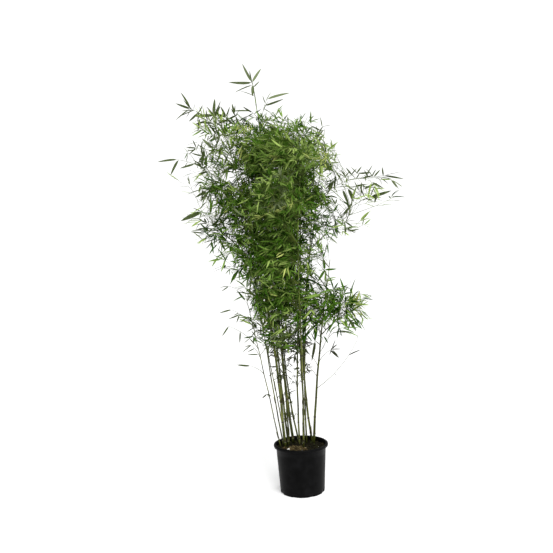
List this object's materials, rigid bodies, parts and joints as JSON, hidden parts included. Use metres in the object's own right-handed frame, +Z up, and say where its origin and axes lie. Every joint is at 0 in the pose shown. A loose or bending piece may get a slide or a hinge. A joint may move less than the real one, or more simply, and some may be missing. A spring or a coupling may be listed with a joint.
{
  "type": "potted bamboo",
  "caption": "Tall clump of slender bamboo in a round black nursery pot, with bare stems below and a loose leafy head above.",
  "frame": {"origin": "centre of the pot's flat underside", "axes": "+Z up along the plant, +X to the right and +Y to the back seen from the front"},
  "size_m": [1.313, 0.9503, 2.3372],
  "materials": {
    "pot_plastic": "charcoal black moulded plastic, satin with faint mottling",
    "compost": "brown bark compost with leaf litter",
    "cane": "olive green cane with darker nodes and straw sheaths",
    "foliage": "mixed deep to yellow-green narrow leaves"
  },
  "bodies": {
    "root": {"pot": "pot_plastic", "soil": "compost", "culm_01": "cane", "culm_02": "cane", "culm_03": "cane", "culm_04": "cane", "culm_05": "cane", "culm_06": "cane", "culm_07": "cane", "culm_08": "cane", "culm_09": "cane", "culm_10": "cane", "culm_11": "cane", "culm_12": "cane", "culm_13": "cane", "culm_14": "cane", "bough_right_low": "cane", "bough_right_high": "cane", "bough_right_foot": "cane", "bough_left_high": "cane", "bough_left_low": "cane", "crest_left": "foliage", "crest_right": "foliage", "crest_front": "foliage", "crest_back": "foliage", "heart_left": "foliage", "heart_right": "foliage", "heart_front": "foliage", "heart_back": "foliage", "waist_left": "foliage", "waist_right": "foliage", "waist_front": "foliage", "waist_back": "foliage", "skirt_front": "foliage", "skirt_back": "foliage", "hem": "foliage", "top_spray": "foliage", "shoulder_left": "foliage", "spray_upper_left": "foliage", "spray_left_high": "foliage", "flank_left": "foliage", "fringe_left": "foliage", "fringe_low_left": "foliage", "arm_right_high": "foliage", "arm_right_low": "foliage", "foot_right_inner": "foliage", "foot_right_outer": "foliage", "sprig_right": "foliage", "spray_front": "foliage", "spray_front_right": "foliage", "spray_back": "foliage", "spray_back_left": "foliage", "spray_back_low": "foliage", "waist_outer": "foliage"}
  },
  "joints": []
}
